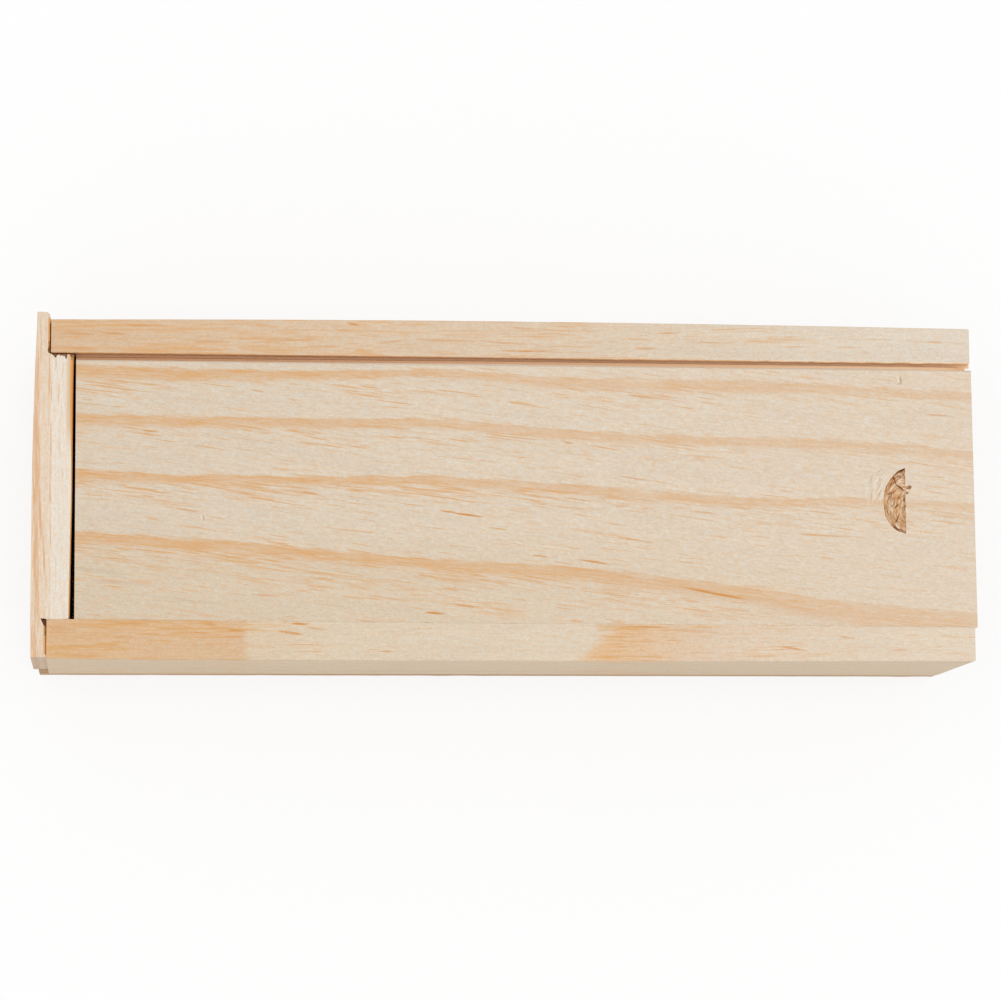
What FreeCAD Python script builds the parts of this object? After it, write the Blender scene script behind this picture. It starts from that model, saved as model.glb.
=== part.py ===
import FreeCAD, Part
import math
import os

from FreeCAD import Vector

# A long pine box with a flat lid that slides out over its low end.
# While it is modelled, X runs along the side boards from their left ends,
# Y runs from the middle of the box to the far side board, and Z up from the table.
# At the end everything is moved so that the origin is the middle of the box's footprint.

# Whole box, mm
box_height = 44.5
side_length = 200.0
half_width = 36.7
end_skew_deg = 0.6

# Bottom panel, glued under the boards, and the lower end strip that stands on it
panel_thickness = 5.0
panel_inset = 0.3
panel_overhang = 2.15
strip_height = 7.5

# Side boards
far_board_thickness = 7.9
near_board_left_thickness = 8.6
near_board_right_thickness = 7.6

# Lid grooves in the side boards
groove_cover = 2.2
groove_height = 3.4
groove_outer_wall = 4.4

# Tall end board, with the lip that laps the ends of the side boards
lip_outer_near = 3.4
lip_outer_middle = 3.45
lip_outer_far = 2.5
lip_middle_y = -6.0
lip_near_inset = 0.35
lip_far_overhang = 1.15
tall_end_inner_near = 4.7
tall_end_inner_far = 5.2

# Low end board, between the side boards at the open end
low_end_thickness = 8.0

# Lid: a field between the side boards, and tongues that run in their grooves
lid_recess = 0.3
lid_thickness = 5.0
lid_gap_near = 0.93
lid_gap_far = 0.45
lid_proud_near = 0.6
lid_proud_far = 0.33
tongue_clearance = 0.3
tongue_side_clearance = 0.4
tongue_setback = 0.9
field_near_clearance = 0.25
field_far_gap_left = 1.35
field_far_gap_right = 1.6

# Thumb notch in the lid
notch_length = 14.5
notch_width = 4.7
notch_depth = 1.4
notch_from_open_end = 14.95
notch_middle_y = -1.5

# Places that follow from the sizes above
panel_half_width = half_width - panel_inset
far_inner_y = half_width - far_board_thickness
groove_y = half_width - groove_outer_wall
groove_top_z = box_height - groove_cover
groove_bottom_z = groove_top_z - groove_height
strip_top_z = panel_thickness + strip_height
lid_top_z = box_height - lid_recess
lid_bottom_z = lid_top_z - lid_thickness
tongue_top_z = groove_top_z - tongue_clearance
tongue_y = groove_y - tongue_side_clearance
lid_left_near = tall_end_inner_near + lid_gap_near
lid_left_far = tall_end_inner_far + lid_gap_far
lid_right_near = side_length + lid_proud_near
lid_right_far = side_length + lid_proud_far
notch_straight_x = side_length - notch_from_open_end

# How far a cut is carried past the faces that it opens
cut_margin = 2.0


def skewed_x(y):
    """X of the left ends of the side boards, which are cut slightly out of square."""
    return y * math.tan(math.radians(end_skew_deg))


def near_inner_y(x):
    """Inner face of the near side board, whose thickness tapers along its length."""
    taper = (near_board_left_thickness - near_board_right_thickness) / side_length
    return -half_width + near_board_left_thickness - taper * x


def prism(outline, bottom_z, top_z):
    """Upright solid over a closed outline of (x, y) corners."""
    corners = [Vector(x, y, bottom_z) for x, y in outline]
    wire = Part.makePolygon(corners + corners[:1])
    return Part.Face(wire).extrude(Vector(0, 0, top_z - bottom_z))


def grooved(board, side_y, bottom_y):
    """A side board with the lid groove cut from beyond its inner face to the groove's bottom."""
    low_y, high_y = sorted((side_y, bottom_y))
    outline = [
        (-cut_margin, low_y),
        (side_length + cut_margin, low_y),
        (side_length + cut_margin, high_y),
        (-cut_margin, high_y),
    ]
    return board.cut(prism(outline, groove_bottom_z, groove_top_z))


def make_far_side_board():
    outline = [
        (skewed_x(far_inner_y), far_inner_y),
        (side_length, far_inner_y),
        (side_length, half_width),
        (skewed_x(half_width), half_width),
    ]
    board = prism(outline, panel_thickness, box_height)
    return grooved(board, far_inner_y - cut_margin, groove_y)


def make_near_side_board():
    left_inner_y = near_inner_y(0)
    outline = [
        (skewed_x(-half_width), -half_width),
        (side_length, -half_width),
        (side_length, near_inner_y(side_length)),
        (skewed_x(left_inner_y), left_inner_y),
    ]
    board = prism(outline, panel_thickness, box_height)
    return grooved(board, left_inner_y + cut_margin, -groove_y)


def end_tongue(bottom_z, top_z):
    """The part of a left end piece that stands between the side boards."""
    near_left_y = near_inner_y(0)
    outline = [
        (skewed_x(near_left_y), near_left_y),
        (tall_end_inner_near, near_inner_y(tall_end_inner_near)),
        (tall_end_inner_far, far_inner_y),
        (skewed_x(far_inner_y), far_inner_y),
    ]
    return prism(outline, bottom_z, top_z)


def make_tall_end_board():
    near_y = -half_width + lip_near_inset
    far_y = half_width + lip_far_overhang
    outer_near = Vector(-lip_outer_near, near_y, strip_top_z)
    outer_middle = Vector(-lip_outer_middle, lip_middle_y, strip_top_z)
    outer_far = Vector(-lip_outer_far, far_y, strip_top_z)
    inner_far = Vector(skewed_x(far_y), far_y, strip_top_z)
    inner_near = Vector(skewed_x(near_y), near_y, strip_top_z)
    bowed_face = Part.Arc(outer_near, outer_middle, outer_far).toShape()
    lip_wire = Part.Wire(
        [
            bowed_face,
            Part.makeLine(outer_far, inner_far),
            Part.makeLine(inner_far, inner_near),
            Part.makeLine(inner_near, outer_near),
        ]
    )
    lip = Part.Face(lip_wire).extrude(Vector(0, 0, box_height - strip_top_z))
    return lip.fuse(end_tongue(strip_top_z, box_height)).removeSplitter()


def make_lower_end_strip():
    lip_outline = [
        (-panel_overhang, -panel_half_width),
        (skewed_x(-panel_half_width), -panel_half_width),
        (skewed_x(panel_half_width), panel_half_width),
        (-panel_overhang, panel_half_width),
    ]
    lip = prism(lip_outline, panel_thickness, strip_top_z)
    return lip.fuse(end_tongue(panel_thickness, strip_top_z)).removeSplitter()


def make_low_end_board():
    inner_x = side_length - low_end_thickness
    outline = [
        (inner_x, near_inner_y(inner_x)),
        (side_length, near_inner_y(side_length)),
        (side_length, far_inner_y),
        (inner_x, far_inner_y),
    ]
    return prism(outline, panel_thickness, groove_bottom_z)


def make_bottom_panel():
    outline = [
        (-panel_overhang, -panel_half_width),
        (side_length, -panel_half_width),
        (side_length, panel_half_width),
        (-panel_overhang, panel_half_width),
    ]
    return prism(outline, 0, panel_thickness)


def make_thumb_notch():
    """Half-moon pocket: straight towards the open end, round towards the tall end."""
    half_chord = notch_length / 2
    radius = (half_chord**2 + notch_width**2) / (2 * notch_width)
    floor_z = lid_top_z - notch_depth
    centre = Vector(notch_straight_x - notch_width + radius, notch_middle_y, floor_z)
    disc = Part.makeCylinder(radius, notch_depth + cut_margin, centre)
    keep = Part.makeBox(
        radius,
        2 * radius,
        notch_depth + cut_margin,
        Vector(notch_straight_x - radius, notch_middle_y - radius, floor_z),
    )
    return disc.common(keep)


def make_lid():
    field_near_left = near_inner_y(lid_left_near) + field_near_clearance
    field_near_right = near_inner_y(lid_right_near) + field_near_clearance
    field_far_left = far_inner_y - field_far_gap_left
    field_far_right = far_inner_y - field_far_gap_right
    field = prism(
        [
            (lid_left_near, field_near_left),
            (lid_right_near, field_near_right),
            (lid_right_far, field_far_right),
            (lid_left_far, field_far_left),
        ],
        lid_bottom_z,
        lid_top_z,
    )
    near_tongue = prism(
        [
            (lid_left_near, -tongue_y),
            (lid_right_near - tongue_setback, -tongue_y),
            (lid_right_near - tongue_setback, field_near_left),
            (lid_left_near, field_near_left),
        ],
        lid_bottom_z,
        tongue_top_z,
    )
    far_tongue = prism(
        [
            (lid_left_far, field_far_right),
            (lid_right_far - tongue_setback, field_far_right),
            (lid_right_far - tongue_setback, tongue_y),
            (lid_left_far, tongue_y),
        ],
        lid_bottom_z,
        tongue_top_z,
    )
    board = field.fuse([near_tongue, far_tongue]).removeSplitter()
    return board.cut(make_thumb_notch())


def write_parts():
    shapes = {
        "far_side_board": make_far_side_board(),
        "near_side_board": make_near_side_board(),
        "tall_end_board": make_tall_end_board(),
        "lower_end_strip": make_lower_end_strip(),
        "low_end_board": make_low_end_board(),
        "bottom_panel": make_bottom_panel(),
        "lid": make_lid(),
    }
    bounds = Part.makeCompound(list(shapes.values())).BoundBox
    to_origin = Vector(-bounds.Center.x, -bounds.Center.y, -bounds.ZMin)
    os.makedirs("parts", exist_ok=True)
    for node, shape in shapes.items():
        shape.translate(to_origin)
        shape.exportStep("parts/" + node + ".step")
        size = shape.BoundBox
        print(
            node,
            "valid",
            shape.isValid(),
            "solids",
            len(shape.Solids),
            "X %.2f..%.2f" % (size.XMin, size.XMax),
            "Y %.2f..%.2f" % (size.YMin, size.YMax),
            "Z %.2f..%.2f" % (size.ZMin, size.ZMax),
        )
    print("moved by %.4f %.4f %.4f" % (to_origin.x, to_origin.y, to_origin.z))


write_parts()
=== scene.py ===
import math

import bmesh
import bpy
from mathutils import Matrix, Vector, noise


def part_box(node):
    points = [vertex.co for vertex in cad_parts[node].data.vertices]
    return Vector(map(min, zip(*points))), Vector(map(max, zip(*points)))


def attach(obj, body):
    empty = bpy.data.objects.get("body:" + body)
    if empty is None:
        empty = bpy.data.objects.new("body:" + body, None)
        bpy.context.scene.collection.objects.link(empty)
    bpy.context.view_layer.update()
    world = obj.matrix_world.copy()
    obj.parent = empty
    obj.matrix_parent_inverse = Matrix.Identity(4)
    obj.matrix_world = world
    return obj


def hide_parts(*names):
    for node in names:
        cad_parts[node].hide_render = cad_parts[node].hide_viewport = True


# The looks of a sliding lid wooden box: seven boards of bare pine.
# Shapes are written in rail coordinates, in mm: X from the left ends of the side boards,
# Y from the middle to the far side board, Z up from the table. Levels and lengths come from
# the CAD nodes, and the clearances of the lid in its grooves are the CAD's.

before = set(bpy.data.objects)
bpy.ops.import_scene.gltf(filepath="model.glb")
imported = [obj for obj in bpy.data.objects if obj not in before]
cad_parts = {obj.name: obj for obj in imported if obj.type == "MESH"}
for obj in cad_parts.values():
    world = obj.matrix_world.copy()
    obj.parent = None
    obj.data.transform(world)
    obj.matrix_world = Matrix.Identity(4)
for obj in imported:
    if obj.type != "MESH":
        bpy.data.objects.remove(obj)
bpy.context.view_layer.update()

MM = 0.001
X, Y, Z = 0, 1, 2
LOW, HIGH = 0, 1

# The bottom panel stands out this far past the side boards' left ends, mm
PANEL_OVERHANG = 2.15
panel_low, panel_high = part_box("bottom_panel")
RAIL_ORIGIN = Vector(
    (
        round(-panel_low.x / MM, 4) - PANEL_OVERHANG,
        round(-(panel_low.y + panel_high.y) / MM, 4) / 2,
        0.0,
    )
)


def cad_end(node, end, axis):
    """Where a CAD node ends along an axis, at its low or high end, in rail coordinates."""
    return round(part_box(node)[end][axis] / MM + RAIL_ORIGIN[axis], 4)


# Levels, mm
PANEL_TOP = cad_end("bottom_panel", HIGH, Z)
STRIP_TOP = cad_end("lower_end_strip", HIGH, Z)
BOX_TOP = cad_end("far_side_board", HIGH, Z)
GROOVE_LOW = cad_end("low_end_board", HIGH, Z)
GROOVE_HEIGHT = 3.4
GROOVE_HIGH = GROOVE_LOW + GROOVE_HEIGHT
TONGUE_CLEARANCE = 0.3
TONGUE_TOP = GROOVE_HIGH - TONGUE_CLEARANCE
LID_LOW = cad_end("lid", LOW, Z)
LID_TOP = cad_end("lid", HIGH, Z)
LID_TILT = 0.22
LID_TOP_NEAR = LID_TOP + LID_TILT

# Places along and across the box, mm
SIDE_LENGTH = cad_end("far_side_board", HIGH, X)
LOW_END_INNER_X = cad_end("low_end_board", LOW, X)
PANEL_LEFT = -PANEL_OVERHANG
PANEL_Y = cad_end("bottom_panel", HIGH, Y)
TONGUE_Y = cad_end("lid", HIGH, Y)
TONGUE_SIDE_CLEARANCE = 0.4
GROOVE_Y = TONGUE_Y + TONGUE_SIDE_CLEARANCE
TONGUE_SETBACK = 0.9

# Width of the eased arrises, mm
ARRIS = 0.14

# Plan curves of the faces: (place along the face, offset), mm
FAR_OUTER = ((0, 36.25), (50, 36.75), (97, 36.94), (150, 36.8), (200, 36.42))
FAR_INNER = ((0, 29.05), (30, 29.05), (55, 29.0), (97, 28.97), (140, 28.83), (200, 28.72))
NEAR_OUTER = ((0, -36.45), (56, -36.65), (92, -36.67), (150, -36.65), (200, -36.45))
NEAR_INNER = ((0, -28.05), (56, -28.4), (92, -28.65), (151, -28.85), (200, -29.15))
END_OUTER = ((-36.3, -3.39), (-24, -3.45), (-2.7, -3.42), (18.8, -3.1), (37.85, -2.5))
END_INNER = ((-28, 4.84), (-19.7, 4.93), (-11.2, 5.03), (-2.6, 5.16), (20, 5.2), (28.8, 5.32))
END_WANE = ((-28, 0.32), (-10, 0.28), (4, 0.3), (12, 0.52), (19, 0.72), (28.8, 0.84))
LID_LEFT = ((-28.1, 5.79), (-2.6, 5.85), (12.4, 5.73), (24.3, 5.69), (27.5, 5.77))
LID_RIGHT = ((-28.8, 200.58), (-1.3, 200.42), (27.2, 200.33))
LID_FAR = ((0, 27.59), (55, 27.57), (97, 27.6), (140, 27.4), (200, 27.25))
# Height of the ledge that the rebate cutter left along the far side of the lid's field
LID_LEDGE = ((0, 0.75), (60, 1.0), (100, 1.35), (140, 1.7), (195, 1.7), (198.3, 0), (200, 0))

# Side boards: half width at the foot, left ends sawn out of square, and where the far board's
# inner arris starts to be torn and how far on it is fully torn
FOOT_Y = 36.5
SAWN_X = 0.17
SAWN_SKEW = 0.0075
TEAR_START = 110.0
TEAR_RUN = 50.0

# Left end pieces: the ends of the lip, the middle part between the side boards, the places
# where the joints are measured, and where the near joint closes
LIP_NEAR_Y = -36.14
LIP_FAR_Y = 37.85
LIP_CORNER = 0.9
LIP_LEAN = 0.1
MIDDLE_NEAR_Y = -28.0
MIDDLE_FAR_Y = 28.75
JOINT_Y = 33.0
JOINT_CLOSING_Y = -35.3
JOINT_CLOSED_Y = -35.9
JOINT_CLOSED = 0.03
# Levels between which the tall end board is lofted, and the foot of its chamfer
END_LEVELS = (20, 28, 34, 39, 42, 43.5, 43.9, 44.2)
CHAMFER_Z = 43.9
FAR_JOINT_WIDENS_Z = 39.0

# Lid: its left edge, its gap beside the near board, and the corners of its tongues
LID_START = 6.0
LID_NEAR_GAP = 0.012
LID_END = SIDE_LENGTH + 0.35
TONGUE_CORNER = 0.7
FIELD_FAR_END_Y = 27.05
FIELD_NEAR_END_Y = 29.05


def srgb(red, green, blue):
    """Linear colour from 0-255 screen values."""
    return [((c / 255 + 0.055) / 1.055) ** 2.4 for c in (red, green, blue)] + [1.0]


def through(points, at):
    """Smooth curve through (place, value) points, level beyond its ends."""
    if at <= points[0][0]:
        return points[0][1]
    if at >= points[-1][0]:
        return points[-1][1]
    i = max(k for k in range(len(points) - 1) if points[k][0] <= at)
    before, (x0, v0) = points[max(i - 1, 0)], points[i]
    (x1, v1), after = points[i + 1], points[min(i + 2, len(points) - 1)]
    slope0 = (v1 - before[1]) / (x1 - before[0])
    slope1 = (after[1] - v0) / (after[0] - x0)
    h = x1 - x0
    t = (at - x0) / h
    return (
        (2 * t**3 - 3 * t**2 + 1) * v0
        + (t**3 - 2 * t**2 + t) * h * slope0
        + (3 * t**2 - 2 * t**3) * v1
        + (t**3 - t**2) * h * slope1
    )


def steps(low, high, count):
    return [low + (high - low) * i / count for i in range(count + 1)]


def wobble(x, y, z, size):
    """A small repeatable unevenness, between -size and size."""
    return size * noise.noise(Vector((x, y, z)))


def left_end(y):
    """X of the side boards' left ends."""
    return SAWN_X + SAWN_SKEW * y


def arc(x, y, radius, start, end):
    """Points on an arc about (x, y), from one angle to another in degrees."""
    turns = [math.radians(turn) for turn in steps(start, end, 4)]
    return [(x + radius * math.cos(turn), y + radius * math.sin(turn)) for turn in turns]


# ---- meshes


def make_piece(name, bm):
    bmesh.ops.recalc_face_normals(bm, faces=bm.faces)
    mesh = bpy.data.meshes.new(name)
    bm.to_mesh(mesh)
    bm.free()
    piece = bpy.data.objects.new(name, mesh)
    bpy.context.scene.collection.objects.link(piece)
    return piece


def loft(name, rings):
    """Closed solid through rings of rail points, all with the same count, with flat ends."""
    bm = bmesh.new()
    rows = [[bm.verts.new((Vector(p) - RAIL_ORIGIN) * MM) for p in ring] for ring in rings]
    count = len(rows[0])
    for a, b in zip(rows, rows[1:]):
        for i in range(count):
            j = (i + 1) % count
            bm.faces.new((a[i], a[j], b[j], b[i]))
    bm.faces.new(rows[0])
    bm.faces.new(rows[-1])
    return make_piece(name, bm)


def ease_arrises(piece, width=ARRIS, crisp=None):
    """Rounds the arrises, apart from those in places where crisp(y, z) is true."""
    bm = bmesh.new()
    bm.from_mesh(piece.data)
    arrises = []
    for edge in bm.edges:
        middle = (edge.verts[0].co + edge.verts[1].co) / 2 / MM + RAIL_ORIGIN
        if edge.calc_face_angle() > math.radians(35) and not (crisp and crisp(middle.y, middle.z)):
            arrises.append(edge)
    bmesh.ops.bevel(
        bm, geom=arrises, offset=width * MM, segments=2, profile=0.5, affect="EDGES",
        clamp_overlap=True,
    )
    bm.to_mesh(piece.data)
    bm.free()


def carve(piece, *cutters):
    """Cuts the cutters' shapes out of the piece."""
    for cutter in cutters:
        cut = piece.modifiers.new("carve", "BOOLEAN")
        cut.operation = "DIFFERENCE"
        cut.solver = "EXACT"
        cut.object = cutter
        graph = bpy.context.evaluated_depsgraph_get()
        piece.data = bpy.data.meshes.new_from_object(piece.evaluated_get(graph))
        piece.modifiers.clear()
        bpy.data.objects.remove(cutter)


def prism(name, outline, low, high):
    return loft(name, [[(x, y, z) for x, y in outline] for z in (low, high)])


# ---- boards


def torn_arris(x):
    """How far the far board's inner arris strays. It is torn more towards the open end."""
    torn = min(1.0, max(0.0, (x - TEAR_START) / TEAR_RUN))
    return wobble(x * 0.9, 1, 3, 0.09 + 0.06 * torn) + wobble(x * 0.3, 1, 8, 0.2 * torn)


def side_board(name, outer, inner, side):
    """A side board with its lid groove. side is 1 for the far board and -1 for the near one."""
    rings = []
    for share in steps(0, 1, 200):
        x = share * SIDE_LENGTH
        outer_y = through(outer, x) + wobble(x * 0.15, side, 0, 0.025)
        inner_y = through(inner, x)
        ragged = torn_arris(x) if side > 0 else 0.0
        groove_y = side * GROOVE_Y
        profile = [
            (side * FOOT_Y, PANEL_TOP),
            (outer_y, BOX_TOP),
            (inner_y + ragged, BOX_TOP),
            (inner_y + 0.5 * ragged, GROOVE_HIGH),
            (groove_y, GROOVE_HIGH),
            (groove_y, GROOVE_LOW),
            (inner_y, GROOVE_LOW),
            (inner_y, PANEL_TOP),
        ]
        rings.append(
            [(left_end(y) + share * (SIDE_LENGTH - left_end(y)), y, z) for y, z in profile]
        )
    piece = loft(name, rings)
    ease_arrises(piece, crisp=near_seam)
    return piece


def near_seam(y, z):
    """The arrises along the near edge of the lid, which meet without a visible groove."""
    return -29.6 < y < -27.5 and z > LID_TOP - 0.1


def end_outline(z, lip, gaps, wane):
    """T-shaped plan of a left end piece: a lip over the side boards' ends, and its middle.

    lip is the outer face from its near end to its far end. gaps are how far the lip stands back
    from the near and the far side board's end. wane is its share at this level.
    """
    near_y, far_y = lip[0][Y], lip[-1][Y]
    near_joint = left_end(-JOINT_Y) - gaps[0]
    far_joint = left_end(JOINT_Y) - gaps[1]
    closed = left_end(-JOINT_Y) - JOINT_CLOSED
    outline = list(lip)
    outline += arc(far_joint - LIP_CORNER, far_y - LIP_CORNER, LIP_CORNER, 90, 0)
    outline.append((far_joint, MIDDLE_FAR_Y + 0.2))
    for y in steps(MIDDLE_FAR_Y, MIDDLE_NEAR_Y, 30):
        outline.append((through(END_INNER, y) - wane * through(END_WANE, y), y))
    outline += [(near_joint, MIDDLE_NEAR_Y - 0.15), (near_joint, JOINT_CLOSING_Y)]
    outline += [(closed, JOINT_CLOSED_Y), (closed, near_y)]
    return [(x, y, z) for x, y in outline]


# Chips torn from the end board's top beside its joints: depth and plan, mm
JOINT_CHIPS = (
    (1.0, ((-0.3, 29.6), (-0.1, 29.05), (0.55, 28.7), (1.05, 28.3), (1.42, 27.85), (1.7, 28.4),
           (2.15, 28.65), (2.2, 29.2), (0.4, 29.2), (0.2, 30.4), (0.0, 30.4))),
    (0.8, ((2.1, 29.2), (2.2, 28.55), (2.45, 28.3), (2.7, 28.5), (3.0, 28.25), (3.2, 28.45),
           (3.45, 28.0), (3.65, 27.6), (3.85, 28.1), (3.95, 28.75), (4.5, 28.6), (4.6, 28.1),
           (5.4, 28.1), (5.4, 29.2))),
    (1.6, ((-1.32, -27.9), (-0.05, -28.02), (0.1, -28.4), (0.1, -29.7), (-0.62, -29.45))),
)


def tall_end_board():
    rings = []
    for z in (STRIP_TOP, *END_LEVELS, BOX_TOP):
        up = (z - STRIP_TOP) / (BOX_TOP - STRIP_TOP)
        chamfer = max(0.0, (z - CHAMFER_Z) / (BOX_TOP - CHAMFER_Z)) ** 1.8
        near_gap = 0.05 + 0.45 * chamfer
        far_gap = near_gap + 0.15 * min(1.0, max(0.0, (z - FAR_JOINT_WIDENS_Z) / 3))
        lean = LIP_LEAN * (1 - up)
        lip = [(through(END_OUTER, y) + lean, y) for y in steps(LIP_NEAR_Y, LIP_FAR_Y, 16)]
        rings.append(end_outline(z, lip, (near_gap, far_gap), chamfer))
    piece = loft("tall_end", rings)
    ease_arrises(piece, 0.1)
    for depth, outline in JOINT_CHIPS:
        carve(piece, prism("chip", outline, BOX_TOP - depth, BOX_TOP + 1))
    return piece


def lower_end_strip():
    lip = [(PANEL_LEFT, y) for y in steps(-PANEL_Y, PANEL_Y, 16)]
    rings = [end_outline(z, lip, (0.08, 0.08), 0) for z in (PANEL_TOP, STRIP_TOP)]
    piece = loft("lower_strip", rings)
    ease_arrises(piece, 0.12)
    return piece


def low_end_board():
    rings = []
    for x in steps(LOW_END_INNER_X, SIDE_LENGTH, 2):
        near, far = through(NEAR_INNER, x), through(FAR_INNER, x)
        rings.append(
            [(x, near, PANEL_TOP), (x, far, PANEL_TOP), (x, far, GROOVE_LOW), (x, near, GROOVE_LOW)]
        )
    piece = loft("low_end", rings)
    ease_arrises(piece, 0.15)
    return piece


def bottom_panel():
    rings = []
    for x in steps(PANEL_LEFT, SIDE_LENGTH, 100):
        near = -PANEL_Y + wobble(x * 0.2, 5, 0, 0.06)
        rings.append([(x, near, 0), (x, PANEL_Y, 0), (x, PANEL_Y, PANEL_TOP), (x, near, PANEL_TOP)])
    piece = loft("base_panel", rings)
    ease_arrises(piece, 0.15)
    return piece


# ---- lid

# Left edge of the thumb notch, from its near tip to its far tip, mm
NOTCH_ROUND = (
    (-8.8, 185.1), (-8.1, 183.2), (-6.9, 181.9), (-5.1, 180.85), (-3.2, 180.5), (-1.4, 180.42),
    (0.8, 180.75), (2.4, 181.5), (3.9, 182.6), (5.0, 183.8), (5.6, 185.2),
)
NOTCH_STRAIGHT_X = 185.22
NOTCH_CENTRE = (188.3, -1.5)
NOTCH_DEEP = 1.0
# The torn colour fills the notch, up to this far from here
NOTCH_MIDDLE = (183.5, -1.6)
NOTCH_REACH = (5.0, 9.0)


def notch_cutter():
    """The torn half-moon pocket: fibres torn along its curve, and a low straight edge."""
    rings = []
    for y in steps(-8.78, 5.58, 72):
        left = through(NOTCH_ROUND, y) + wobble(y * 1.7, 2, 0, 0.12)
        right = max(NOTCH_STRAIGHT_X + wobble(y * 1.3, 7, 0, 0.16), left + 0.12)
        ring = []
        for u in steps(0, 1, 20):
            x = left + u * (right - left)
            along, across = x - NOTCH_CENTRE[X], y - NOTCH_CENTRE[Y]
            radius, angle = math.hypot(along, across), math.atan2(across, -along)
            torn = wobble(radius * 1.5, angle * 3.0, 4, 0.5) + wobble(x * 2.6, y * 1.3, 8, 0.2)
            depth = NOTCH_DEEP * (1 - 0.4 * u) * min(1.0, 0.5 + 3 * u) + torn
            depth = min(max(depth, 0.22), 1.7)
            ring.append((x, y, LID_TOP - depth))
        ring += [(right, y, LID_TOP + 1), (left, y, LID_TOP + 1)]
        rings.append(ring)
    return loft("notch_cutter", rings)


def stub_cutter():
    """A splinter torn out past the notch's straight edge, with two ends."""
    outline = [(183.4, 2.35), (184.6, 1.85), (185.4, 1.46), (186.1, 1.9), (186.65, 1.65),
               (186.5, 1.03), (186.1, 0.64), (185.95, 0.1), (185.45, -0.25), (184.9, 0.47),
               (184.2, 1.0), (183.4, 1.55)]
    return prism("stub_cutter", outline, LID_TOP - 0.45, LID_TOP + 1)


def tongue_corner(side, field_y):
    """Space beside the field's open end, where the tongue ends short of the lid's edge."""
    end = LID_END - TONGUE_SETBACK
    middle = end - TONGUE_CORNER
    outline = [(end, field_y - 0.2)]
    outline += arc(middle, TONGUE_Y - TONGUE_CORNER, TONGUE_CORNER, 0, 90)
    outline += [(middle, TONGUE_Y + 1), (end + 3, TONGUE_Y + 1), (end + 3, field_y - 0.2)]
    return [(x, side * y) for x, y in outline]


def lid_board():
    rings = []
    for share in steps(0, 1, 200):
        middle = LID_START + share * (SIDE_LENGTH - LID_START)
        far = through(LID_FAR, middle) + wobble(middle * 0.4, 9, 0, 0.03)
        near = through(NEAR_INNER, middle) + LID_NEAR_GAP
        near += max(0.0, wobble(middle * 0.8, 11, 0, 0.12) - 0.02)
        rise = max(0.0, through(LID_LEDGE, middle))
        profile = [
            (-TONGUE_Y, LID_LOW),
            (-TONGUE_Y, TONGUE_TOP),
            (near, TONGUE_TOP),
            (near, LID_TOP_NEAR),
            (far, LID_TOP),
            (far + 0.02, TONGUE_TOP + rise),
            (far + 0.75, TONGUE_TOP + 0.75 * rise),
            (far + 1.0, TONGUE_TOP + 0.05),
            (TONGUE_Y, TONGUE_TOP),
            (TONGUE_Y, LID_LOW),
        ]
        ring = []
        for y, z in profile:
            left, right = through(LID_LEFT, y), through(LID_RIGHT, y)
            ring.append((left + share * (right - left), y, z))
        rings.append(ring)
    piece = loft("sliding_lid", rings)
    for side, field_y in ((1, FIELD_FAR_END_Y), (-1, FIELD_NEAR_END_Y)):
        corner = tongue_corner(side, field_y)
        carve(piece, prism("corner_cutter", corner, LID_LOW - 1, TONGUE_TOP))
    ease_arrises(piece, crisp=near_seam)
    carve(piece, notch_cutter(), stub_cutter())
    return piece


# ---- marks on the wood

LATE_WOOD = srgb(220, 165, 103)
RESIN = srgb(213, 148, 78)
NEAR_LATE = srgb(217, 160, 84)
SPECK = srgb(160, 118, 84)

# Growth rings on the lid's top: the places along it where they are measured, then each one's
# middles, widths and strengths there, and how crowded the streaks on its near side are
BAND_X = (6, 35, 62, 85, 110, 131, 150, 172, 200)
LID_BANDS = (
    ((25.2, 24.6, 24.9, 25.4, 23.7, 23.4, 23.2, 22.7, 21.3),
     (2.4, 2.0, 1.4, 1.5, 1.9, 2.1, 2.0, 1.7, 1.4),
     (1.0, 0.97, 0.9, 0.8, 0.68, 0.64, 0.6, 0.55, 0.5), 0.3),
    ((14.7, 14.4, 14.3, 14.4, 12.3, 11.5, 11.0, 10.4, 8.3),
     (2.2, 1.8, 1.7, 1.6, 1.7, 1.8, 1.8, 1.8, 1.5),
     (0.95, 0.85, 0.78, 0.75, 0.68, 0.64, 0.6, 0.56, 0.5), 0.35),
    ((2.8, 2.0, 1.9, 1.9, 0.4, -0.9, -2.2, -2.0, -2.7),
     (1.8, 1.5, 1.5, 1.6, 1.7, 1.7, 1.6, 1.4, 1.2),
     (0.98, 0.98, 0.9, 0.82, 0.74, 0.7, 0.65, 0.56, 0.5), 0.6),
    ((-10.6, -12.3, -14.4, -16.2, -17.7, -19.8, -22.4, -26.0, -27.8),
     (1.9, 1.9, 1.8, 1.9, 2.1, 2.2, 2.8, 3.6, 2.5),
     (0.97, 0.96, 0.92, 0.9, 0.86, 0.82, 0.76, 0.63, 0.52), 0.62),
)

# A drawn-out mark is written as its middle x and y, half length, slope, half width and strength.

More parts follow.
